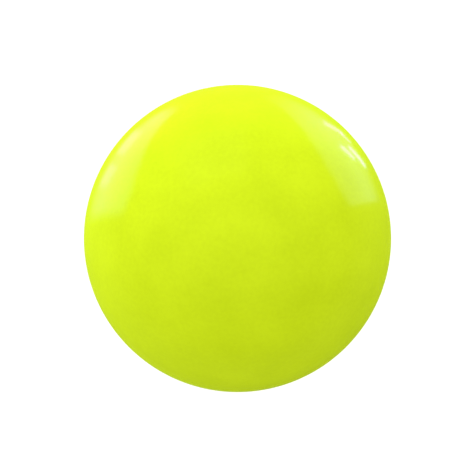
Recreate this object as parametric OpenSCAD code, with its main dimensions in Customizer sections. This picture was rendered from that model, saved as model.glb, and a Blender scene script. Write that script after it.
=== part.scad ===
// Feather badminton shuttlecock: a cork head under a glossy cover, sixteen goose feathers set in it
// and two rows of lacing. It stands on the tips of its feathers with its nose up.
// Millimetres, +Z up. The origin is the middle of the ring of feather tips.

/* [Head] */
// Outer diameter of the covered head
head_d = 27; // [25:0.5:28]
// Height of the head's straight side, from the face that the feathers enter to the start of the dome
head_side_h = 11.5; // [9:0.5:14]
// Wall of the cover that wraps the cork
cover_wall = 0.4; // [0.2:0.05:0.8]
// Thickness of the natural cork disc that grips the quills
cork_disc_h = 9.5; // [8.5:0.5:11.5]
// Width of the ribbon round the head's edge
ribbon_w = 5; // [3:0.5:7]
// Thickness of the ribbon
ribbon_wall = 0.25; // [0.15:0.05:0.5]
// Room left on the feather face between the paper label and the glue beads
label_gap = 1.9; // [0.5:0.1:5]
// Thickness of the paper label
label_t = 0.15; // [0.1:0.05:0.3]

/* [Feathers] */
// Length of a feather from the head's feather face to its tip
feather_len = 63; // [62:0.5:70]
// Diameter of the circle on which the feather tips lie
tip_circle_d = 64; // [58:0.5:68]
// Distance from the head's edge in to the middle of each quill, where it enters the head
quill_inset = 2.8; // [2.4:0.1:3.6]
// Diameter of a quill where it enters the head
quill_root_d = 2.4; // [1.8:0.1:2.6]
// Diameter of a quill at its root end, inside the cork
quill_end_d = 2; // [1.6:0.1:2.2]
// Diameter of a quill at the feather's tip
quill_tip_d = 0.7; // [0.4:0.1:1.2]
// Diameter of the hollow in the lower quill
quill_bore_d = 1.3; // [0.6:0.1:1.4]
// Length of solid quill between the hollow's end and the vane
quill_solid_len = 4; // [2:0.5:8]
// Depth to which a quill is set in the cork
socket_depth = 7; // [5:0.5:8]
// Diameter that a socket has over its quill
socket_clearance = 0.06; // [0.02:0.02:0.2]
// Bare length of quill between the feather face and the vane
bare_quill_len = 25; // [22:0.5:30]
// Width of the vane on its narrow, leading side
vane_lead_w = 8; // [5:0.5:9]
// Width of the vane on its wide, trailing side
vane_trail_w = 12; // [8:0.5:13]
// Length over which the vane widens from the bare quill
vane_ramp_len = 9.5; // [5:0.5:12]
// Length of the rounded end of the vane's leading edge
vane_lead_round = 12; // [6:0.5:15]
// Length of the rounded end of the vane's trailing edge
vane_trail_round = 16; // [8:0.5:18]
// Thickness of the vane
vane_t = 0.3; // [0.2:0.05:0.5]
// Room between the start of each vane and the quill of the next feather, which it lies over
vane_gap = 0.1; // [0.05:0.05:0.6]

/* [Lacing] */
// Distance along the quills from the feather face to the first row of thread
first_row_at = 8.5; // [6:0.5:11]
// Distance along the quills from the feather face to the second row of thread
second_row_at = 18.5; // [14:0.5:21]
// Diameter of the waxed thread
thread_d = 0.55; // [0.3:0.05:0.9]
// Gap between the thread and the quills that it passes
thread_gap = 0.02; // [0.01:0.01:0.1]
// Height of the glue bead round the root of each quill
bead_h = 0.8; // [0.4:0.1:1.5]
// Width of the glue bead beyond the quill
bead_w = 0.6; // [0.3:0.05:0.7]

/* [Hidden] */
$fn = 96;
feather_count = 16;
feather_pitch = 360 / feather_count;
feather_names = [for (i = [1 : feather_count]) str("feather_", i < 10 ? "0" : "", i)];

quill_r = head_d / 2 - quill_inset;
slant = asin((tip_circle_d / 2 - quill_r) / feather_len); // lean of a quill from the vertical
face_z = feather_len * cos(slant) + vane_t / 2 * sin(slant); // height of the head's feather face
dome_z = face_z + head_side_h; // height at which the side turns into the dome
cork_r = head_d / 2 - cover_wall;
label_r = quill_r - quill_root_d / 2 - bead_w - label_gap;
vane_len = feather_len - bare_quill_len;
bore_len = socket_depth + bare_quill_len - quill_solid_len;
edge_steps = 14; // points along each edge of a vane
shell_span = 120; // turn of the cone wall from which one vane is cut

// Radius of a quill at a distance along it from the feather face
function quill_radius(at) = quill_root_d / 2 + (quill_tip_d - quill_root_d) / 2 * at / feather_len;

// Distance of a quill's centre line from the shuttle's axis, and its height, at a distance along it
function quill_out(at) = quill_r + at * sin(slant);
function quill_z(at) = face_z - at * cos(slant);

// Turn of each vane about its own quill that lifts it over the quill of the next feather
quill_spacing = 2 * quill_out(bare_quill_len) * sin(feather_pitch / 2);
shingle_angle = asin((quill_radius(bare_quill_len) + vane_t / 2 + vane_gap) / quill_spacing);

// Width of one side of a vane at a distance from its start: it opens out, runs on and rounds off
function vane_width(at, full, round_len) =
    let (ramp = sin(90 * min(1, at / vane_ramp_len)), past = max(0, at - (vane_len - round_len)) / round_len)
    full * ramp * sqrt(max(0, 1 - past * past));

// One edge of a vane as points from its start to its tip; side is 1 or -1
function vane_edge(side, full, round_len) = [
    for (i = [0 : edge_steps])
        let (at = vane_len * sin(90 * i / edge_steps))
        [side * vane_width(at, full, round_len), bare_quill_len + at]
];

function reversed(list) = [for (i = [len(list) - 1 : -1 : 0]) list[i]];

// The leading edge up to the tip, then the trailing edge back to the quill
function vane_outline() =
    let (
        lead = vane_edge(1, vane_lead_w, vane_lead_round),
        trail = vane_edge(-1, vane_trail_w, vane_trail_round)
    )
    concat([for (i = [0 : edge_steps]) lead[i]], reversed([for (i = [1 : edge_steps - 1]) trail[i]]));

// Places children drawn along +Z on the quill of the feather at +X, root at the feather face
module on_quill() {
    translate([quill_r, 0, face_z])
        rotate([0, 180 - slant, 0])
            children();
}

// Takes children from the shuttle's frame into that quill's own
module from_quill() {
    rotate([0, slant - 180, 0])
        translate([-quill_r, 0, -face_z])
            children();
}

// Repeats children at every feather
module at_each_feather() {
    for (i = [0 : feather_count - 1])
        rotate([0, 0, i * feather_pitch])
            children();
}

// The tapered root of a quill and a short length past the face, with a given room all round
module quill_root(room) {
    translate([0, 0, -socket_depth])
        cylinder(d1 = quill_end_d + room, d2 = quill_root_d + room, h = socket_depth);
    cylinder(d = quill_root_d + room, h = quill_root_d);
}

// Rounded head body of a given radius: a dome on a straight side of a given height
module head_profile(r, side) {
    translate([0, side])
        intersection() {
            circle(r);
            square(r);
        }
    square([r, side]);
}

// Glossy cover over the dome and the straight side, open at the feather face
module head_cover() {
    color([0.72, 0.93, 0.1])
        translate([0, 0, face_z])
            rotate_extrude()
                difference() {
                    head_profile(head_d / 2, head_side_h);
                    head_profile(cork_r, head_side_h);
                }
}

// Ground and pressed cork under the dome
module cork_nose() {
    color([0.72, 0.55, 0.36])
        translate([0, 0, face_z])
            rotate_extrude()
                difference() {
                    head_profile(cork_r, head_side_h);
                    square([cork_r, cork_disc_h]);
                }
}

// Natural cork disc with one slanted socket for each quill
module cork_disc() {
    color([0.82, 0.66, 0.46])
        difference() {
            translate([0, 0, face_z])
                cylinder(r = cork_r, h = cork_disc_h);
            at_each_feather()
                on_quill()
                    quill_root(socket_clearance);
        }
}

// Tape that covers the raw edge of the cover
module ribbon() {
    color([0.95, 0.96, 0.93])
        translate([0, 0, face_z])
            difference() {
                cylinder(r = head_d / 2 + ribbon_wall, h = ribbon_w);
                translate([0, 0, -1])
                    cylinder(r = head_d / 2, h = ribbon_w + 2);
            }
}

// Blank paper disc between the quills
module face_label() {
    color([0.97, 0.97, 0.95])
        translate([0, 0, face_z - label_t])
            cylinder(r = label_r, h = label_t);
}

// A bead of glue round the root of each quill, on the feather face
module root_glue() {
    quill_side = quill_root_d / 2 + bead_h * tan(slant); // how far the leaning quill reaches at the bead's top
    color([0.93, 0.9, 0.8])
        at_each_feather()
            difference() {
                translate([quill_r, 0, face_z - bead_h])
                    cylinder(r1 = quill_side, r2 = quill_root_d / 2 + bead_w, h = bead_h);
                on_quill()
                    translate([0, 0, -quill_root_d])
                        cylinder(d = quill_root_d + socket_clearance, h = bead_h + 2 * quill_root_d);
            }
}

// One row of thread: a run outside the quills, a run inside them and a crossing in each gap
module lacing_row(at) {
    run = (quill_radius(at) + thread_d / 2 + thread_gap) / cos(slant);
    color([0.96, 0.95, 0.9])
        translate([0, 0, quill_z(at)]) {
            for (r = [quill_out(at) - run, quill_out(at) + run])
                rotate_extrude()
                    translate([r, 0])
                        circle(d = thread_d);
            for (i = [0 : feather_count - 1])
                rotate([0, 90, (i + 0.5) * feather_pitch])
                    translate([0, 0, quill_out(at) - run])
                        cylinder(d = thread_d, h = 2 * run);
        }
}

// Hollow root, set in the cork, and a shaft that tapers to the tip
module quill() {
    difference() {
        union() {
            translate([0, 0, -socket_depth])
                cylinder(d1 = quill_end_d, d2 = quill_root_d, h = socket_depth);
            cylinder(d1 = quill_root_d, d2 = quill_tip_d, h = feather_len - quill_tip_d);
        }
        translate([0, 0, -socket_depth - 1])
            cylinder(d = quill_bore_d, h = bore_len + 1);
    }
}

// Wall of the cone on which the quills lie, where the vane of the feather at +X is cut from it
module cone_wall() {
    half = vane_t / 2;
    rotate([0, 0, -shell_span / 2])
        rotate_extrude(angle = shell_span)
            polygon([for (p = [[0, 1], [0, -1], [1, -1], [1, 1]])
                let (at = p[0] * (feather_len + 2) + (1 - p[0]) * bare_quill_len / 2)
                [quill_out(at) + p[1] * half * cos(slant), quill_z(at) + p[1] * half * sin(slant)]]);
}

// The cambered sheet of barbs, turned about its quill
module vane() {
    rotate([0, 0, shingle_angle])
        intersection() {
            rotate([90, 0, 90])
                linear_extrude(height = vane_lead_w + vane_trail_w, center = true)
                    polygon(vane_outline());
            from_quill()
                cone_wall();
        }
}

// One goose feather: quill and vane are a single natural piece
module feather(index) {
    color([0.85, 0.95, 0.45])
        rotate([0, 0, index * feather_pitch])
            on_quill()
                union() {
                    quill();
                    vane();
                }
}

head_cover();
cork_nose();
cork_disc();
ribbon();
face_label();
root_glue();
lacing_row(first_row_at);  // lacing_first_row
lacing_row(second_row_at);  // lacing_second_row
for (i = [0 : feather_count - 1])
    feather(i);
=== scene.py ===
"""A feather badminton shuttlecock, standing nose up on the tips of its feathers.

Dyed goose feathers are set in a cork head under a glossy lime cover, with a ribbon round the head's edge
and two rows of lacing round the quills. Everything is in metres, in the frame of the CAD model.
"""

import math
import random

import bmesh
import bpy
from mathutils import Matrix, Vector, noise


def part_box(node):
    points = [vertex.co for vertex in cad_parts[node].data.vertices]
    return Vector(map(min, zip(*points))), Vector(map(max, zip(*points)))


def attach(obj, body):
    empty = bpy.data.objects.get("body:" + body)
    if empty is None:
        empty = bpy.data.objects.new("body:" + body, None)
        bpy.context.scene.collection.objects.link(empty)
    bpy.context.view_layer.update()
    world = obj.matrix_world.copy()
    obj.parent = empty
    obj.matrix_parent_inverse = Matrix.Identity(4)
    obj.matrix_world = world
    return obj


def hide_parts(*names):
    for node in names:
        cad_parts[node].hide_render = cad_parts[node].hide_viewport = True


MM = 0.001
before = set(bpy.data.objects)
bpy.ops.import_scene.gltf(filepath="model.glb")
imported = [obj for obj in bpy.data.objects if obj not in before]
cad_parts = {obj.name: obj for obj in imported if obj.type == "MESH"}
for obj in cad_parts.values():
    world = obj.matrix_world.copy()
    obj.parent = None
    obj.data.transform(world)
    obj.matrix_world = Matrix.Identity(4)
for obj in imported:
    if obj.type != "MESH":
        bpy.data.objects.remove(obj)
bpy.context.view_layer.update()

# ---------------------------------------------------------------- sizes of the head, from the CAD frame
HEAD_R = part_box("head_cover")[1].x
FACE_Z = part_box("head_cover")[0].z
NOSE_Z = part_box("head_cover")[1].z
DOME_Z = NOSE_Z - HEAD_R
CORK_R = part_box("cork_disc")[1].x
RIBBON_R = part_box("ribbon")[1].x
RIBBON_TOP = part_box("ribbon")[1].z
LABEL_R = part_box("face_label")[1].x
LABEL_T = FACE_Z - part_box("face_label")[0].z

# ---------------------------------------------------------------- sizes of the feathers, as in the CAD
FEATHERS = 16
FEATHER_LEN = 63 * MM
TIP_CIRCLE_R = 32 * MM
QUILL_OUT = HEAD_R - 2.8 * MM
QUILL_ROOT_R = 1.2 * MM
QUILL_TIP_R = 0.35 * MM
QUILL_IN_CORK = 6 * MM
BARE_LEN = 25 * MM
VANE_LEN = FEATHER_LEN - BARE_LEN
VANE_T = 0.3 * MM
VANE_GAP = 0.1 * MM
LEAD_SIDE = {"Width": 8 * MM, "Round end": 12 * MM}
TRAIL_SIDE = {"Width": 12 * MM, "Round end": 16 * MM}
VANE_RISE = 9.5 * MM
VANE_MARGIN = 0.2 * MM
BARBS = 150
BARB_T = 0.05 * MM
SLANT = math.asin((TIP_CIRCLE_R - QUILL_OUT) / FEATHER_LEN)
PITCH = 2 * math.pi / FEATHERS

# ---------------------------------------------------------------- sizes of the lacing
LACING_ROWS = {"lacing_first_row": 8.5 * MM, "lacing_second_row": 18.5 * MM}
THREAD_R = 0.24 * MM
KNOT_R = 0.2 * MM


def quill_radius(at):
    """Radius of a quill at a distance along it from the head's face."""
    return QUILL_ROOT_R + (QUILL_TIP_R - QUILL_ROOT_R) * at / FEATHER_LEN


def quill_out(at):
    """Distance from the shuttlecock's axis to a quill's middle."""
    return QUILL_OUT + at * math.sin(SLANT)


def quill_z(at):
    """Height of a quill's middle."""
    return FACE_Z - at * math.cos(SLANT)


QUILL_SPACING = 2 * quill_out(BARE_LEN) * math.sin(PITCH / 2)
SHINGLE = math.asin((quill_radius(BARE_LEN) + VANE_T / 2 + VANE_GAP) / QUILL_SPACING)


# ================================================================ node helpers


class Field:
    """A value that varies from point to point. Arithmetic on it adds math nodes to its tree."""

    def __init__(self, tree, socket):
        self.tree = tree
        self.socket = socket

    def math(self, operation, *others):
        node = self.tree.nodes.new("ShaderNodeMath")
        node.operation = operation
        for slot, value in zip(node.inputs, (self, *others)):
            feed(slot, value)
        return Field(self.tree, node.outputs[0])

    def __add__(self, other):
        return self.math("ADD", other)

    def __sub__(self, other):
        return self.math("SUBTRACT", other)

    def __rsub__(self, other):
        return self.math("MULTIPLY_ADD", -1.0, other)

    def __mul__(self, other):
        return self.math("MULTIPLY", other)

    def __truediv__(self, other):
        return self.math("DIVIDE", other)

    def __pow__(self, other):
        return self.math("POWER", other)

    __radd__ = __add__
    __rmul__ = __mul__


def feed(slot, value):
    """Gives a socket a plain value, or links a field or another socket to it."""
    if isinstance(value, Field):
        value = value.socket
    if isinstance(value, bpy.types.NodeSocket):
        slot.id_data.links.new(value, slot)
    else:
        slot.default_value = value


def add(tree, kind, inputs=None, **settings):
    """Adds a node with its settings, feeds its inputs by name or number, and returns it."""
    node = tree.nodes.new(kind)
    for name, value in settings.items():
        setattr(node, name, value)
    for name, value in (inputs or {}).items():
        feed(node.inputs[name], value)
    return node


def shader(name, **sockets):
    """A new Principled material with its plain numbers set: (material, its tree, its shader node)."""
    made = bpy.data.materials.new(name)
    made.use_nodes = True
    principled = made.node_tree.nodes["Principled BSDF"]
    for key, value in sockets.items():
        principled.inputs[key.replace("_", " ")].default_value = value
    return made, made.node_tree, principled


def place(tree, stretch=(1, 1, 1)):
    """Object coordinates, stretched along the object's axes."""
    coords = add(tree, "ShaderNodeTexCoord").outputs["Object"]
    return add(tree, "ShaderNodeMapping", {"Vector": coords, "Scale": stretch}).outputs[0]


def grain(tree, coords, scale, detail=3.0, roughness=0.5, distortion=0.0):
    """Noise from 0 to 1 as a field, with scale in ripples per metre."""
    inputs = {"Vector": coords, "Scale": scale, "Detail": detail, "Roughness": roughness,
              "Distortion": distortion}
    return Field(tree, add(tree, "ShaderNodeTexNoise", inputs).outputs[0])


def ramp(tree, factor, stops):
    """Colours along a factor: stops is a list of (position, (r, g, b))."""
    node = add(tree, "ShaderNodeValToRGB", {"Fac": factor})
    elements = node.color_ramp.elements
    while len(elements) < len(stops):
        elements.new(0.5)
    for element, (position, colour) in zip(elements, stops):
        element.position = position
        element.color = (*colour, 1)
    return node.outputs["Color"]


def blend_colours(tree, factor, first, second):
    """Mixes two colours, which may be sockets or plain (r, g, b, 1)."""
    node = add(tree, "ShaderNodeMix", data_type="RGBA")
    feed(node.inputs[0], factor)
    feed(node.inputs[6], first)
    feed(node.inputs[7], second)
    return node.outputs[2]


def bump(tree, principled, height, depth):
    """Presses a height field into a surface, depth in metres."""
    node = add(tree, "ShaderNodeBump", {"Height": height, "Distance": depth, "Strength": 1.0})
    feed(principled.inputs["Normal"], node.outputs[0])


# ================================================================ materials

LIME = (0.547, 0.702, 0.0060)
LIME_DEEP = (0.494, 0.640, 0.0040)
RIB_PITCH = 0.32
THREAD_PITCH = 0.25


def lime_coat():
    """Glossy dyed coat of the head, with a faint mottle and a skin as fine as kid leather's."""
    made, tree, principled = shader("lime_coat", Roughness=0.15, IOR=1.45, Coat_Weight=0.45,
                                    Coat_Roughness=0.025, Specular_IOR_Level=0.4)
    coords = place(tree)
    pores = grain(tree, coords, 3400, detail=2)
    mottle = grain(tree, coords, 300, detail=4) * 0.62 + pores * 0.38
    feed(principled.inputs["Base Color"], ramp(tree, mottle, [(0.36, LIME_DEEP), (0.64, LIME)]))
    skin = pores * 0.9 + grain(tree, coords, 420, detail=1) * 1.2
    bump(tree, principled, skin, 0.008 * MM)
    return made


def natural_cork():
    """Fine pale cork with dark pores that run one way through it."""
    made, tree, principled = shader("natural_cork", Roughness=0.8, Specular_IOR_Level=0.3)
    coords = place(tree)
    body = ramp(tree, grain(tree, coords, 700, detail=6, roughness=0.65), [
        (0.3, (0.42, 0.245, 0.115)), (0.5, (0.56, 0.37, 0.20)), (0.72, (0.66, 0.47, 0.275))])
    pores = grain(tree, place(tree, (260, 900, 900)), 1.0, detail=3, distortion=0.6)
    pit = pores.math("SUBTRACT", 0.62).math("MULTIPLY", 9.0)
    pit.socket.node.use_clamp = True
    colour = blend_colours(tree, pit, body, (0.15, 0.07, 0.03, 1))
    feed(principled.inputs["Base Color"], colour)
    bump(tree, principled, grain(tree, coords, 1800, detail=4) - pit * 0.8, 0.05 * MM)
    return made


def pressed_cork():
    """Ground cork, glued in granules."""
    made, tree, principled = shader("pressed_cork", Roughness=0.85, Specular_IOR_Level=0.3)
    coords = place(tree)
    cells = add(tree, "ShaderNodeTexVoronoi", {"Vector": coords, "Scale": 900.0})
    parts = add(tree, "ShaderNodeSeparateColor", {"Color": cells.outputs["Color"]})
    granule = Field(tree, parts.outputs[0])
    feed(principled.inputs["Base Color"], ramp(tree, granule, [
        (0.0, (0.28, 0.15, 0.07)), (0.5, (0.46, 0.29, 0.15)), (1.0, (0.58, 0.40, 0.23))]))
    bump(tree, principled, Field(tree, cells.outputs["Distance"]), 0.08 * MM)
    return made


def ribbon_satin():
    """White tape: fine ribs across it and threads along it. Its UV map is in millimetres."""
    made, tree, principled = shader("ribbon_satin", Roughness=0.42, Sheen_Weight=0.25,
                                    Specular_IOR_Level=0.45)
    uv = add(tree, "ShaderNodeUVMap", uv_map="UVMap").outputs[0]
    split = add(tree, "ShaderNodeSeparateXYZ", {"Vector": uv})
    along = Field(tree, split.outputs[0])
    across = Field(tree, split.outputs[1])
    ribs = (along * (2 * math.pi / RIB_PITCH)).math("SINE")
    threads = (across * (2 * math.pi / THREAD_PITCH)).math("SINE")
    soil = grain(tree, place(tree), 350, detail=5)
    # The colour also follows the ribs: a little lighter on each crest and darker in each groove, painted
    # shade between the ribs.
    feed(principled.inputs["Base Color"], ramp(tree, soil + ribs * 0.05, [
        (0.3, (0.60, 0.61, 0.57)), (0.7, (0.74, 0.745, 0.72))]))
    bump(tree, principled, ribs * 0.7 + threads * ribs * 0.35, 0.035 * MM)
    return made


def label_paper():
    """Uncoated paper with long fibres."""
    made, tree, principled = shader("label_paper", Roughness=0.75, Specular_IOR_Level=0.3)
    fibres = grain(tree, place(tree, (1, 3.2, 1)), 1500, detail=5, distortion=1.2)
    feed(principled.inputs["Base Color"], ramp(tree, fibres, [
        (0.3, (0.58, 0.58, 0.53)), (0.7, (0.70, 0.70, 0.66))]))
    bump(tree, principled, fibres, 0.02 * MM)
    return made


def root_glue():
    """Hardened wood glue: pale amber, glossy, with small sags."""
    made, tree, principled = shader("root_glue", Roughness=0.22, Coat_Weight=0.3, Coat_Roughness=0.1)
    cloud = grain(tree, place(tree), 900, detail=3)
    feed(principled.inputs["Base Color"], ramp(tree, cloud, [
        (0.3, (0.50, 0.41, 0.20)), (0.7, (0.62, 0.55, 0.33))]))
    bump(tree, principled, cloud, 0.06 * MM)
    return made


def waxed_thread():
    """Twisted polyester thread, pale, stiff with clear glue."""
    made, tree, principled = shader("waxed_thread", Roughness=0.38, Coat_Weight=0.4, Coat_Roughness=0.2,
                                    Sheen_Weight=0.1)
    fuzz = grain(tree, place(tree), 3200, detail=4)
    feed(principled.inputs["Base Color"], ramp(tree, fuzz, [
        (0.3, (0.66, 0.65, 0.56)), (0.7, (0.80, 0.79, 0.71))]))
    bump(tree, principled, fuzz, 0.03 * MM)
    return made


def quill_keratin():
    """Smooth horn of the quills: milky at the root, dyed more towards the tip, streaked lengthwise."""
    made, tree, principled = shader("quill_keratin", Roughness=0.3, Coat_Weight=0.25, Coat_Roughness=0.15)
    along = Field(tree, add(tree, "ShaderNodeAttribute", attribute_name="along").outputs["Fac"])
    streaks = grain(tree, place(tree, (1, 1, 0.12)), 2400, detail=4)
    dye = along * 0.85 + (streaks - 0.5) * 0.55
    feed(principled.inputs["Base Color"], ramp(tree, dye, [
        (0.0, (0.74, 0.70, 0.49)), (0.4, (0.68, 0.70, 0.30)), (0.9, (0.56, 0.66, 0.11))]))
    bump(tree, principled, streaks, 0.03 * MM)
    return made


def dyed_barbs():
    """Barbs of the vane: lime dye that took unevenly, a soft sheen, fine barbules on the ridges."""
    made, tree, principled = shader("dyed_barbs", Roughness=0.5, Sheen_Weight=0.2, Sheen_Roughness=0.4,
                                    Specular_IOR_Level=0.35)
    tint = Field(tree, add(tree, "ShaderNodeAttribute", attribute_name="tint").outputs["Fac"])
    reach = Field(tree, add(tree, "ShaderNodeAttribute", attribute_name="reach").outputs["Fac"])
    blotch = grain(tree, place(tree), 140, detail=4)
    shade = tint * 0.26 + blotch * 0.55 + reach * 0.2
    feed(principled.inputs["Base Color"], ramp(tree, shade, [
        (0.2, (0.44, 0.57, 0.030)), (0.5, (0.53, 0.66, 0.055)), (0.8, (0.62, 0.71, 0.13))]))
    bump(tree, principled, grain(tree, place(tree), 5200, detail=2), 0.03 * MM)
    return made


# ================================================================ mesh helpers


def new_piece(name, mesh, material, smooth=True):
    """Links a mesh as a piece at the origin, with its material and outward faces."""
    work = bmesh.new()
    work.from_mesh(mesh)
    bmesh.ops.recalc_face_normals(work, faces=work.faces)
    work.to_mesh(mesh)
    work.free()
    mesh.materials.clear()
    mesh.materials.append(material)
    mesh.polygons.foreach_set("use_smooth", [smooth] * len(mesh.polygons))
    piece = bpy.data.objects.new(name, mesh)
    bpy.context.collection.objects.link(piece)
    return piece


def skinned(name, rings, loop=False):
    """A mesh over rings of equally many points. loop joins the last ring to the first, and else the two
    ends are closed, a ring of one point making a pole."""
    points = [point for ring in rings for point in ring]
    starts = [sum(len(ring) for ring in rings[:i]) for i in range(len(rings))]
    faces = []
    count = len(rings)
    for i in range(count if loop else count - 1):
        low, high = rings[i], rings[(i + 1) % count]
        a, b = starts[i], starts[(i + 1) % count]
        steps = max(len(low), len(high))
        for k in range(steps):
            n = (k + 1) % steps
            if len(low) == 1:
                faces.append((a, b + n, b + k))
            elif len(high) == 1:
                faces.append((a + k, a + n, b))
            else:
                faces.append((a + k, a + n, b + n, b + k))
    if not loop:
        for ring, start in ((rings[0], starts[0]), (rings[-1], starts[-1])):
            if len(ring) > 1:
                faces.append(tuple(range(start, start + len(ring))))
    mesh = bpy.data.meshes.new(name)
    mesh.from_pydata(points, [], faces)
    return mesh


def turned(name, profile, steps):
    """A closed mesh turned about Z from (radius, height) points. A point on the axis makes a pole."""
    rings = []
    for radius, height in profile:
        if radius < 1e-9:
            rings.append([Vector((0, 0, height))])
            continue
        turns = [2 * math.pi * k / steps for k in range(steps)]
        rings.append([Vector((radius * math.cos(t), radius * math.sin(t), height)) for t in turns])
    return skinned(name, rings, loop=True)


def arc(middle, radius, start, end, steps):
    """Points of a round stretch of a profile, with angles in degrees from outward."""
    angles = [math.radians(start + (end - start) * k / steps) for k in range(steps + 1)]
    return [(middle[0] + radius * math.cos(a), middle[1] + radius * math.sin(a)) for a in angles]


def on_quill(index, turn=0.0):
    """The frame of a feather: +Z along its quill from the face to the tip, -X outward."""
    round_axis = Matrix.Rotation(index * PITCH, 4, "Z")
    root = Matrix.Translation((QUILL_OUT, 0, FACE_Z))
    lean = Matrix.Rotation(math.pi - SLANT, 4, "Y")
    return round_axis @ root @ lean @ Matrix.Rotation(turn, 4, "Z")


def geometry_tree(name, sizes):
    """An empty Geometry Nodes tree and its inputs as fields: sizes maps each input's name to its kind."""
    tree = bpy.data.node_groups.new(name, "GeometryNodeTree")
    tree.interface.new_socket("Geometry", in_out="INPUT", socket_type="NodeSocketGeometry")
    tree.interface.new_socket("Geometry", in_out="OUTPUT", socket_type="NodeSocketGeometry")
    for size, kind in sizes.items():
        tree.interface.new_socket(size, in_out="INPUT", socket_type="NodeSocket" + kind)
    given = tree.nodes.new("NodeGroupInput")
    return tree, {socket.name: Field(tree, socket) for socket in given.outputs if socket.name}


def finish_tree(tree, geometry, material):
    """Ends a tree with real geometry in one material."""
    real = add(tree, "GeometryNodeRealizeInstances", {"Geometry": geometry})
    painted = add(tree, "GeometryNodeSetMaterial", {"Geometry": real.outputs[0], "Material": material})
    add(tree, "NodeGroupOutput", {"Geometry": painted.outputs[0]})


def grown(name, tree, start_mesh, **sizes):
    """The plain mesh that a tree makes from a starting mesh, each input set by its identifier."""
    start = bpy.data.objects.new(name, start_mesh)
    bpy.context.collection.objects.link(start)
    modifier = start.modifiers.new(tree.name, "NODES")
    modifier.node_group = tree
    for item in tree.interface.items_tree:
        key = item.name.replace(" ", "_").lower()
        if item.in_out == "INPUT" and key in sizes:
            modifier[item.identifier] = sizes[key]
    graph = bpy.context.evaluated_depsgraph_get()
    mesh = bpy.data.meshes.new_from_object(start.evaluated_get(graph))
    bpy.data.objects.remove(start)
    mesh.name = name
    return mesh


# ================================================================ head


def make_cover(material):
    """The dome and straight side as one seamless skin with a real wall, its lower edge rolled over."""
    lip = 0.2 * MM
    below_dome = 1.5 * MM
    wall = HEAD_R - CORK_R
    outside = [(HEAD_R, z) for z in (FACE_Z + lip, RIBBON_TOP, DOME_Z - below_dome)]
    dome = arc((0, DOME_Z), HEAD_R, 0, 90, 60)
    inner_dome = arc((0, DOME_Z), HEAD_R - wall, 90, 0, 24)
    rolled = arc((HEAD_R - lip, FACE_Z + lip), lip, -90, -10, 5)
    profile = rolled + outside + dome[:-1] + [(0, NOSE_Z)] + [(0, NOSE_Z - wall)] + inner_dome[1:]
    profile += [(CORK_R, FACE_Z + lip), (CORK_R, FACE_Z)]
    return new_piece("cover", turned("cover", profile, 192), material)


def make_ribbon(material):
    """A tape once round the head, its last stretch glued over its first."""
    tape = (RIBBON_R - HEAD_R) * 0.48
    edge = 0.3 * tape
    low, high = FACE_Z + 0.05 * MM, RIBBON_TOP
    overlap = math.radians(24)
    seam_at = math.radians(-100)
    climb_from, climb_over = 2 * math.pi - math.radians(3), math.radians(5)
    steps = 220
    rings = []
    for k in range(steps + 1):
        turn = (2 * math.pi + overlap) * k / steps
        climb = min(1.0, max(0.0, (turn - climb_from) / climb_over))
        inner = HEAD_R + 0.004 * MM + tape * climb
        outer = inner + tape
        section = [(inner, low + edge), (inner + edge, low), (outer - edge, low), (outer, low + edge),
                   (outer, high - edge), (outer - edge, high), (inner + edge, high), (inner, high - edge)]
        angle = turn + seam_at
        rings.append([Vector((r * math.cos(angle), r * math.sin(angle), z)) for r, z in section])
    mesh = skinned("ribbon_tape", rings)
    uv = mesh.uv_layers.new(name="UVMap")
    for loop in mesh.loops:
        ring, corner = divmod(loop.vertex_index, len(rings[0]))
        uv.data[loop.index].uv = (ring / steps * 2 * math.pi * HEAD_R / MM, rings[ring][corner].z / MM)
    return new_piece("ribbon_tape", mesh, material, smooth=False)


def make_label(material):
    """The blank paper disc, a little cockled where the glue dried."""
    steps = 96
    paper = LABEL_T * 0.8
    cockle_depth, cockle_width = LABEL_T * 0.25, 2.5 * MM
    shares = ((1.0, 0.0), (1.0, 0.6), (0.985, 1.0), (0.8, 1.0), (0.55, 0.9), (0.3, 1.0))
    rings = [[Vector((0, 0, FACE_Z))]]
    for out, drop in shares:
        ring = []
        for k in range(steps):
            angle = 2 * math.pi * k / steps
            spot = Vector((math.cos(angle), math.sin(angle), 0)) * LABEL_R * out
            cockle = cockle_depth * noise.noise(spot / cockle_width) if drop else 0
            ring.append(spot + Vector((0, 0, FACE_Z - drop * paper - cockle)))
        rings.append(ring)
    rings.append([Vector((0, 0, FACE_Z - paper))])
    return new_piece("label", skinned("label", rings), material)


def make_glue_beads(material):
    """A drop of glue drawn up each quill, its foot spread on the cork."""
    pick = random.Random(5)
    film = 0.02 * MM
    levels, sides = 8, 28
    work = bmesh.new()
    for index in range(FEATHERS):
        spread = pick.uniform(0.5, 0.68) * MM
        climb = pick.uniform(0.85, 1.25) * MM
        quill = on_quill(index)
        axis = (quill.to_3x3() @ Vector((0, 0, 1))).normalized()
        profile = []
        for level in range(levels):
            share = level / (levels - 1)
            foot = spread * (1 - share) ** 2.2
            profile.append((climb * share, QUILL_ROOT_R + foot + film))
        profile += [(climb, QUILL_ROOT_R - film), (0.0, QUILL_ROOT_R - film)]
        rings = []
        for down, radius in profile:
            middle = quill.translation + axis * (down / -axis.z)
            ring = []
            for side in range(sides):
                angle = 2 * math.pi * side / sides
                way = Vector((math.cos(angle), math.sin(angle), 0))
                sag = 1 + 0.08 * noise.noise(way * 2 + Vector((0, 0, index * 3.1)))
                ring.append(middle + way * radius * sag)
            rings.append(ring)
        mesh = skinned("bead", rings, loop=True)
        work.from_mesh(mesh)
        bpy.data.meshes.remove(mesh)
    beads = bpy.data.meshes.new("glue_beads")
    work.to_mesh(beads)
    work.free()
    return new_piece("glue_beads", beads, material)


# ================================================================ feathers


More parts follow.
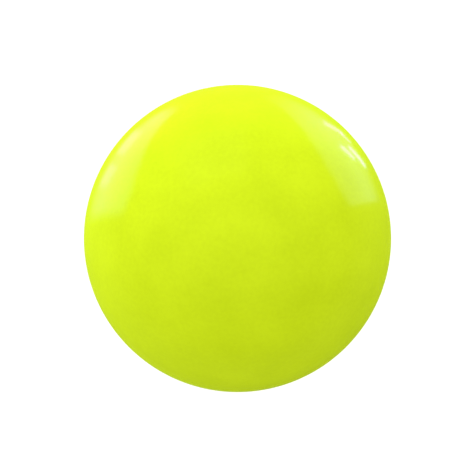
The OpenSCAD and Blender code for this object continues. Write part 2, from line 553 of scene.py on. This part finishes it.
def vane_tree():
    """A row of barbs along one side of a quill, each a slender ridge that curves towards the tip.

    The barbs start as bars that stand a stride apart, so that a point's X tells which barb it is on, its
    cross how far over the bar, and its reach how far out along it, from 0 to 1."""
    numbers = ("Side", "Bare length", "Vane length", "Width", "Rise", "Round end", "Thickness",
               "Split place", "Split width", "Wave")
    sizes = {"Barbs": "Int", "Seed": "Int", **{name: "Float" for name in numbers}, "Material": "Material"}
    tree, given = geometry_tree("Barbs along a quill", sizes)
    stride = 10.0
    foot = 0.12 * MM
    half_of_spacing = 0.66
    split_fade = 0.22
    ripple_height = 0.16 * MM
    stray_height = 0.02 * MM
    slat_height = 0.035 * MM

    index = Field(tree, add(tree, "GeometryNodeInputIndex").outputs[0])
    spot = add(tree, "ShaderNodeCombineXYZ", {"X": index * stride})
    points = add(tree, "GeometryNodePoints", {"Count": given["Barbs"], "Position": spot.outputs[0]})
    barb = add(tree, "GeometryNodeMeshCylinder",
               {"Vertices": 4, "Side Segments": 9, "Fill Segments": 1, "Radius": 1.0, "Depth": 1.0})
    row = add(tree, "GeometryNodeInstanceOnPoints",
              {"Points": points.outputs[0], "Instance": barb.outputs["Mesh"]})
    real = add(tree, "GeometryNodeRealizeInstances", {"Geometry": row.outputs[0]})

    position = add(tree, "GeometryNodeInputPosition").outputs[0]
    raw = add(tree, "ShaderNodeSeparateXYZ", {"Vector": position})
    raw_x, raw_y, raw_z = (Field(tree, raw.outputs[axis]) for axis in range(3))
    number = (raw_x / stride + 0.5).math("FLOOR")
    cross = raw_x - number * stride
    reach = raw_z + 0.5

    def chance(low, high, seed):
        node = add(tree, "FunctionNodeRandomValue", {2: low, 3: high, "ID": number}, data_type="FLOAT")
        feed(node.inputs["Seed"], given["Seed"] + seed)
        return Field(tree, node.outputs[1])

    length = given["Vane length"]
    spacing = length / given["Barbs"]
    start = (number + 0.5) * spacing
    share = start / length
    rise = given["Rise"] * (1.0 - share * share)
    past = (start + rise - length + given["Round end"]).math("MAXIMUM", 0.0) / given["Round end"]
    rounding = (1.0 - past * past).math("MAXIMUM", 0.0).math("SQRT")
    width = given["Width"] * rounding * chance(0.982, 1.0, 1)
    bow = reach * 0.5 + (reach * (math.pi / 2)).math("SINE") * 0.5
    out = foot + (width - foot).math("MAXIMUM", 0.0) * bow

    from_split = number - given["Split place"]
    fading = (from_split.math("ABSOLUTE") * -split_fade).math("EXPONENT")
    split = from_split.math("SIGN") * fading * given["Split width"] * reach * reach
    taper = 1.0 - (reach ** 22.0) * 0.8
    half = spacing * half_of_spacing * taper * chance(0.88, 1.1, 2)
    along = given["Bare length"] + start + rise * (reach ** 1.12) + split + cross * half

    ripple = (number * 0.23 + given["Wave"]).math("SINE") * reach * ripple_height
    stray = chance(-stray_height, stray_height, 3) * reach
    ridge = raw_y * given["Thickness"] * (1.0 - reach * 0.55) + cross * slat_height
    cone_r = (along * math.sin(SLANT) + QUILL_OUT) / math.cos(SLANT)
    camber = (cone_r * cone_r - out * out).math("SQRT") - cone_r
    outward = camber + ripple + stray + ridge

    moved = add(tree, "ShaderNodeCombineXYZ", {"X": outward * -1.0, "Y": out * given["Side"], "Z": along})
    geometry = real.outputs[0]
    for name, value in (("tint", chance(0.0, 1.0, 4)), ("reach", reach)):
        stored = {"Geometry": geometry, "Name": name, "Value": value}
        geometry = add(tree, "GeometryNodeStoreNamedAttribute", stored, data_type="FLOAT").outputs[0]
    shaped = add(tree, "GeometryNodeSetPosition", {"Geometry": geometry, "Position": moved.outputs[0]})
    finish_tree(tree, shaped.outputs[0], given["Material"])
    return tree


def make_quill(index, turn, material):
    """The shaft: round where bare, squarer along the vane, with a groove on its inner side."""
    sides, steps = 20, 64
    start, end = -QUILL_IN_CORK, FEATHER_LEN - 2 * VANE_MARGIN
    root_taper, squareness, groove = 0.15, 0.10, 0.34
    squared_over = 4 * MM
    bend = 0.10 * MM
    rings = []
    for k in range(steps + 1):
        at = start + (end - start) * (k / steps)
        outside = max(0.0, at)
        radius = quill_radius(outside) * (1 + root_taper * min(0.0, at) / QUILL_IN_CORK)
        vaned = min(1.0, max(0.0, (at - BARE_LEN) / squared_over))
        bow = Vector((-bend * math.sin(math.pi * outside / FEATHER_LEN), 0, 0))
        ring = []
        for side in range(sides):
            angle = 2 * math.pi * side / sides
            inner = max(0.0, math.cos(angle)) ** 6
            square = 1 - squareness * vaned * math.cos(2 * angle) ** 2
            cut = 1 - groove * vaned * inner
            way = Vector((math.cos(angle), math.sin(angle), 0))
            lump = 1 + 0.02 * noise.noise(way + Vector((0, 0, at / (3 * MM) + index)))
            ring.append(bow + way * radius * square * cut * lump + Vector((0, 0, at)))
        rings.append(ring)
    name = f"quill_{index + 1:02d}"
    mesh = skinned(name, rings)
    mesh.attributes.new("along", "FLOAT", "POINT")
    for vertex, value in zip(mesh.vertices, mesh.attributes["along"].data):
        value.value = max(0.0, vertex.co.z / FEATHER_LEN)
    mesh.transform(on_quill(index, turn))
    return new_piece(name, mesh, material)


def make_vane(index, turn, tree, material):
    """Both rows of barbs of one feather."""
    pick = random.Random(100 + index)
    work = bmesh.new()
    for side, sizes in ((1.0, LEAD_SIDE), (-1.0, TRAIL_SIDE)):
        torn = pick.random() < 0.55
        mesh = grown("barbs", tree, bpy.data.meshes.new("start"), side=side, barbs=BARBS,
                     seed=pick.randrange(10000), bare_length=BARE_LEN + VANE_MARGIN,
                     vane_length=VANE_LEN - 2 * VANE_MARGIN, width=sizes["Width"] - VANE_MARGIN / 2,
                     rise=VANE_RISE, round_end=sizes["Round end"], thickness=BARB_T,
                     split_place=float(pick.uniform(0.1, 0.8) * BARBS),
                     split_width=(pick.uniform(0.25, 0.6) if torn else 0.05) * MM,
                     wave=pick.uniform(0, 6.28), material=material)
        work.from_mesh(mesh)
        bpy.data.meshes.remove(mesh)
    name = f"vane_{index + 1:02d}"
    mesh = bpy.data.meshes.new(name)
    work.to_mesh(mesh)
    work.free()
    mesh.transform(on_quill(index, turn))
    return new_piece(name, mesh, material, smooth=False)


# ================================================================ lacing


def thread_tree():
    """A twisted thread of several plies along closed paths of equally many points."""
    sizes = {"Points": "Int", "Turns": "Int", "Radius": "Float", "Material": "Material"}
    tree, given = geometry_tree("Twisted thread", sizes)
    index = Field(tree, add(tree, "GeometryNodeInputIndex").outputs[0])
    sides, plies = 12, 3

    path = add(tree, "GeometryNodeMeshToCurve", {"Mesh": given["Geometry"]})
    even = add(tree, "GeometryNodeResampleCurve", {"Curve": path.outputs[0], "Count": given["Points"]})
    level = add(tree, "GeometryNodeSetCurveNormal", {"Curve": even.outputs[0]})
    twist = index * given["Turns"] / given["Points"] * (2 * math.pi)
    twisted = add(tree, "GeometryNodeSetCurveTilt", {"Curve": level.outputs[0], "Tilt": twist})

    circle = add(tree, "GeometryNodeCurvePrimitiveCircle",
                 {"Resolution": sides, "Radius": given["Radius"]})
    lobes = (index * (2 * math.pi * plies / sides)).math("COSINE") * 0.2 + 0.86
    spot = add(tree, "GeometryNodeInputPosition").outputs[0]
    drawn_in = add(tree, "ShaderNodeVectorMath", {0: spot, "Scale": lobes}, operation="SCALE")
    profile = add(tree, "GeometryNodeSetPosition",
                  {"Geometry": circle.outputs[0], "Position": drawn_in.outputs[0]})
    rope = add(tree, "GeometryNodeCurveToMesh",
               {"Curve": twisted.outputs[0], "Profile Curve": profile.outputs[0], "Fill Caps": False})
    finish_tree(tree, rope.outputs[0], given["Material"])
    return tree


def loops_mesh(loops):
    """A mesh of closed paths, edges only."""
    points, edges = [], []
    for loop in loops:
        first = len(points)
        points += loop
        edges += [(first + k, first + (k + 1) % len(loop)) for k in range(len(loop))]
    mesh = bpy.data.meshes.new("paths")
    mesh.from_pydata(points, edges, [])
    return mesh


def weave_paths(at):
    """Two closed paths round the ring of quills, each inside one quill and outside the next."""
    steps = 480
    clear_of_quill = 0.03 * MM
    run = (quill_radius(at) + THREAD_R + clear_of_quill) / math.cos(SLANT)
    paths = []
    for phase in (0, math.pi):
        path = []
        for k in range(steps):
            angle = 2 * math.pi * k / steps
            swing = math.cos(angle * FEATHERS / 2 + phase)
            lift = math.sin(angle * FEATHERS / 2 + phase)
            radius = quill_out(at) + run * swing * (1.12 - 0.12 * swing * swing)
            height = quill_z(at) + lift * abs(lift) * THREAD_R * 0.9 * math.cos(angle * FEATHERS)
            path.append(Vector((radius * math.cos(angle), radius * math.sin(angle), height)))
        paths.append(path)
    return paths


def knot_paths(at):
    """Two tilted loops round each quill, drawn tight, one above and one below the row."""
    steps = 32
    from_row = 0.42 * MM
    slope = 0.28
    paths = []
    for index in range(FEATHERS):
        for side in (-1, 1):
            there = at + side * from_row
            around = quill_radius(there) + KNOT_R * 0.9
            path = []
            for k in range(steps):
                angle = 2 * math.pi * k / steps
                x, y = around * math.cos(angle), around * math.sin(angle)
                path.append(on_quill(index) @ Vector((x, y, there + side * slope * y)))
            paths.append(path)
    return paths


def make_lacing(row, at, tree, material):
    """Two threads that pass each quill on opposite sides, and a knot drawn round every quill."""
    threads = grown("thread", tree, loops_mesh(weave_paths(at)), points=1400, turns=110,
                    radius=THREAD_R, material=material)
    knots = grown("knots", tree, loops_mesh(knot_paths(at)), points=60, turns=9,
                  radius=KNOT_R, material=material)
    return new_piece("thread_" + row, threads, material), new_piece("knots_" + row, knots, material)


# ================================================================ assembly


def keep(piece, slot, *nodes):
    """Makes a piece ride on the body, in place of its CAD nodes. slot is not used."""
    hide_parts(*nodes)
    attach(piece, "root")


keep(make_cover(lime_coat()), "lime_coat", "head_cover")
keep(make_ribbon(ribbon_satin()), "ribbon_tape", "ribbon")
keep(make_label(label_paper()), "label_paper", "face_label")
keep(make_glue_beads(root_glue()), "glue", "root_glue")
for node, finish in (("cork_disc", natural_cork()), ("cork_nose", pressed_cork())):
    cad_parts[node].material_slots[0].material = finish

barb_tree = vane_tree()
keratin, dyed = quill_keratin(), dyed_barbs()
for feather in range(FEATHERS):
    node = f"feather_{feather + 1:02d}"
    lie = SHINGLE + math.radians(random.Random(feather).uniform(-0.5, 0.5))
    keep(make_quill(feather, lie, keratin), "dyed_feather", node)
    keep(make_vane(feather, lie, barb_tree, dyed), "dyed_feather", node)

twine_tree, twine = thread_tree(), waxed_thread()
for lacing_row, distance in LACING_ROWS.items():
    for piece in make_lacing(lacing_row, distance, twine_tree, twine):
        keep(piece, "thread", lacing_row)

# ================================================================ floor, lights and camera

CAMERA_FROM_DOME = 50 * MM
DISC_SHARE = 0.646
GLOW_COLOUR = (0.74, 0.96, 0.05, 1)
GLOW_ABOVE = 0.35
DAYLIGHT = (0.45, 0.78, 1.0, 1)
WHITE = (1, 1, 1, 1)
FLOOR_SIZE = 4.0

# Window light: (upper edge, lower edge, level). An edge is a line of (azimuth, elevation) directions from
# the middle of the dome, in degrees.
LEFT_WINDOW = ([(111, -33), (130, -14), (142, -1), (156, 7), (171, 5)],
               [(116, -46), (131, -49), (146, -52), (160, -53), (176, -53)], 0.70)
LEFT_PANES = [([(130, -28), (145, -25)], [(131, -50), (147, -45)], 0.62),
              ([(148, -22), (161, -25)], [(148, -43), (162, -46)], 0.66)]
RIGHT_WINDOW = ([(84, -36), (64, -12), (53, -1), (40, 7), (26, 8), (15, 4)],
                [(74, -52), (54, -49), (41, -49), (30, -47), (22, -46), (14, -45)], 0.66)
RIGHT_PANES = [([(53, -30), (43, -42)], [(55, -38), (45, -48)], 1.5),
               ([(45, -38), (39, -42)], [(47, -43), (40, -46)], 1.4),
               ([(42, -21), (33, -27)], [(43, -27), (34, -32)], 3.2),
               ([(40, -31), (28, -37)], [(41, -37), (29, -43)], 2.8)]
WINDOW_AWAY = 0.5
PANE_AWAY = 0.45


def direction(azimuth, elevation):
    """The unit vector towards an azimuth and elevation in degrees."""
    azimuth, elevation = math.radians(azimuth), math.radians(elevation)
    flat = math.cos(elevation)
    return Vector((flat * math.cos(azimuth), flat * math.sin(azimuth), math.sin(elevation)))


def floor():
    """A plain matte floor, open from underneath. The glossy head doesn't mirror it."""
    made_floor, tree, principled = shader("floor_paint", Roughness=0.9, Specular_IOR_Level=0.1,
                                          Emission_Strength=0.3)
    principled.inputs["Base Color"].default_value = (0.9, 0.9, 0.9, 1)
    principled.inputs["Emission Color"].default_value = WHITE
    behind = add(tree, "ShaderNodeNewGeometry").outputs["Backfacing"]
    clear = add(tree, "ShaderNodeBsdfTransparent")
    sides = add(tree, "ShaderNodeMixShader", {0: behind, 1: principled.outputs[0], 2: clear.outputs[0]})
    feed(tree.nodes["Material Output"].inputs["Surface"], sides.outputs[0])
    half = FLOOR_SIZE / 2
    mesh = bpy.data.meshes.new("floor")
    corners = [(-half, -half, 0), (half, -half, 0), (half, half, 0), (-half, half, 0)]
    mesh.from_pydata(corners, [], [(0, 1, 2, 3)])
    mesh.materials.append(made_floor)
    ground = bpy.data.objects.new("floor", mesh)
    bpy.context.collection.objects.link(ground)
    ground.visible_glossy = False


def along_edge(edge, share):
    """The (azimuth, elevation) at a share of the way along an edge, each stretch of it taken as equal."""
    reached = share * (len(edge) - 1)
    step = min(int(reached), len(edge) - 2)
    rest = reached - step
    return [edge[step][axis] * (1 - rest) + edge[step + 1][axis] * rest for axis in (0, 1)]


def fade(share, width):
    """Rises smoothly from 0 to 1 while share goes from 0 to width."""
    near = min(1.0, share / width)
    return near * near * (3 - 2 * near)


def daylight_material(name):
    """Adds light of the glow attribute's strength to what is seen through it."""
    light = bpy.data.materials.new(name)
    light.use_nodes = True
    tree = light.node_tree
    tree.nodes.clear()
    strength = add(tree, "ShaderNodeAttribute", attribute_name="glow").outputs["Fac"]
    glowing = add(tree, "ShaderNodeEmission", {"Color": DAYLIGHT, "Strength": strength})
    clear = add(tree, "ShaderNodeBsdfTransparent")
    both = add(tree, "ShaderNodeAddShader", {0: glowing.outputs[0], 1: clear.outputs[0]})
    add(tree, "ShaderNodeOutputMaterial", {"Surface": both.outputs[0]})
    light.cycles.emission_sampling = "NONE"
    return light


def window_light(name, away, patch, soft):
    """A patch of window light, away from the dome's middle, that only glossy surfaces see.

    patch is (upper edge, lower edge, level). soft holds the shares of the patch over which it fades at its
    start, end, upper and lower edge."""
    upper, lower, level = patch
    columns, rows = 40, 16
    points, glows = [], []
    for column in range(columns + 1):
        u = column / columns
        top, low = along_edge(upper, u), along_edge(lower, u)
        for row in range(rows + 1):
            v = row / rows
            spot = direction(*(top[axis] * (1 - v) + low[axis] * v for axis in (0, 1)))
            points.append(Vector((0, 0, DOME_Z)) + away * spot)
            faded = fade(u, soft[0]) * fade(1 - u, soft[1]) * fade(v, soft[2]) * fade(1 - v, soft[3])
            glows.append(level * faded)
    side = rows + 1
    faces = [(c * side + r, c * side + r + 1, (c + 1) * side + r + 1, (c + 1) * side + r)
             for c in range(columns) for r in range(rows)]
    mesh = bpy.data.meshes.new(name)
    mesh.from_pydata(points, [], faces)
    mesh.attributes.new("glow", "FLOAT", "POINT").data.foreach_set("value", glows)
    mesh.materials.append(daylight_material(name))
    pane = bpy.data.objects.new(name, mesh)
    bpy.context.collection.objects.link(pane)
    pane.visible_camera = False
    pane.visible_diffuse = False
    pane.visible_shadow = False
    pane.visible_transmission = False


def key_light(level, azimuth, elevation, distance, size):
    """A broad soft lamp, unseen in the gloss. A white surface that faces it shines with the level."""
    data = bpy.data.lights.new("key_light", "AREA")
    data.size = size
    data.energy = level * (math.pi * distance) ** 2
    lamp = bpy.data.objects.new("key_light", data)
    bpy.context.collection.objects.link(lamp)
    lamp.visible_camera = False
    lamp.visible_glossy = False
    towards = direction(azimuth, elevation)
    lamp.location = Vector((0, 0, NOSE_Z / 2)) + towards * distance
    lamp.rotation_euler = (-towards).to_track_quat("-Z", "Y").to_euler()


def sky(level, tilt, glow, glow_tilt):
    """White surroundings. On matte surfaces they shine with a level that rises towards tilt, by its
    length. The gloss sees a lime glow instead, full below the horizon, where the skirt is, and fainter
    above, which rises towards glow_tilt."""
    world = bpy.data.worlds.new("studio")
    bpy.context.scene.world = world
    world.use_nodes = True
    tree = world.node_tree
    tree.nodes.clear()
    path = add(tree, "ShaderNodeLightPath")
    towards = add(tree, "ShaderNodeTexCoord").outputs["Generated"]
    height = Field(tree, add(tree, "ShaderNodeSeparateXYZ", {"Vector": towards}).outputs[2])

    def rise(lean):
        node = add(tree, "ShaderNodeVectorMath", {0: towards, 1: lean}, operation="DOT_PRODUCT")
        return Field(tree, node.outputs["Value"])

    def shine(colour, strength):
        return add(tree, "ShaderNodeBackground", {"Color": colour, "Strength": strength}).outputs[0]

    def either(ray, otherwise, then):
        inputs = {0: path.outputs[ray], 1: otherwise, 2: then}
        return add(tree, "ShaderNodeMixShader", inputs).outputs[0]

    below = add(tree, "ShaderNodeMapRange", {"Value": height, "From Min": 0.12, "From Max": -0.30,
                                             "To Min": glow * GLOW_ABOVE, "To Max": glow})
    mirrored = Field(tree, below.outputs[0]) * (rise(glow_tilt) + 1.0)
    lit = either("Is Glossy Ray", shine(WHITE, rise(tilt) + level), shine(GLOW_COLOUR, mirrored))
    surroundings = either("Is Camera Ray", lit, shine(WHITE, 1.0))
    add(tree, "ShaderNodeOutputWorld", {"Surface": surroundings})


def camera():
    """Straight above the nose, near enough for the head to hide the whole skirt."""
    data = bpy.data.cameras.new("camera")
    disc = HEAD_R / math.sqrt(CAMERA_FROM_DOME**2 - HEAD_R**2)
    data.lens = data.sensor_width / 2 * DISC_SHARE / disc
    data.shift_x = 0.0011
    data.shift_y = 0.0009
    data.clip_start, data.clip_end = 1 * MM, 10
    eye = bpy.data.objects.new("camera", data)
    eye.location = (0, 0, DOME_Z + CAMERA_FROM_DOME)
    bpy.context.collection.objects.link(eye)
    bpy.context.scene.camera = eye


floor()
key_light(level=0.34, azimuth=107, elevation=30, distance=0.5, size=0.35)
sky(level=1.15, tilt=(-0.17, 0.33, 0.0), glow=0.85, glow_tilt=(-0.30, 0.72, 0.0))
window_light("left_window", WINDOW_AWAY, LEFT_WINDOW, (0.15, 0.12, 0.12, 0.5))
window_light("left_upper_pane", PANE_AWAY, LEFT_PANES[0], (0.3, 0.2, 0.3, 0.3))
window_light("left_lower_pane", PANE_AWAY, LEFT_PANES[1], (0.2, 0.4, 0.3, 0.3))
window_light("right_window", WINDOW_AWAY, RIGHT_WINDOW, (0.3, 0.04, 0.1, 0.5))
for number, right_pane in enumerate(RIGHT_PANES):
    nearer = PANE_AWAY - number * 0.01
    window_light(f"right_pane_{number + 1}", nearer, right_pane, (0.15, 0.15, 0.25, 0.25))
camera()
bpy.context.scene.view_settings.view_transform = "Standard"
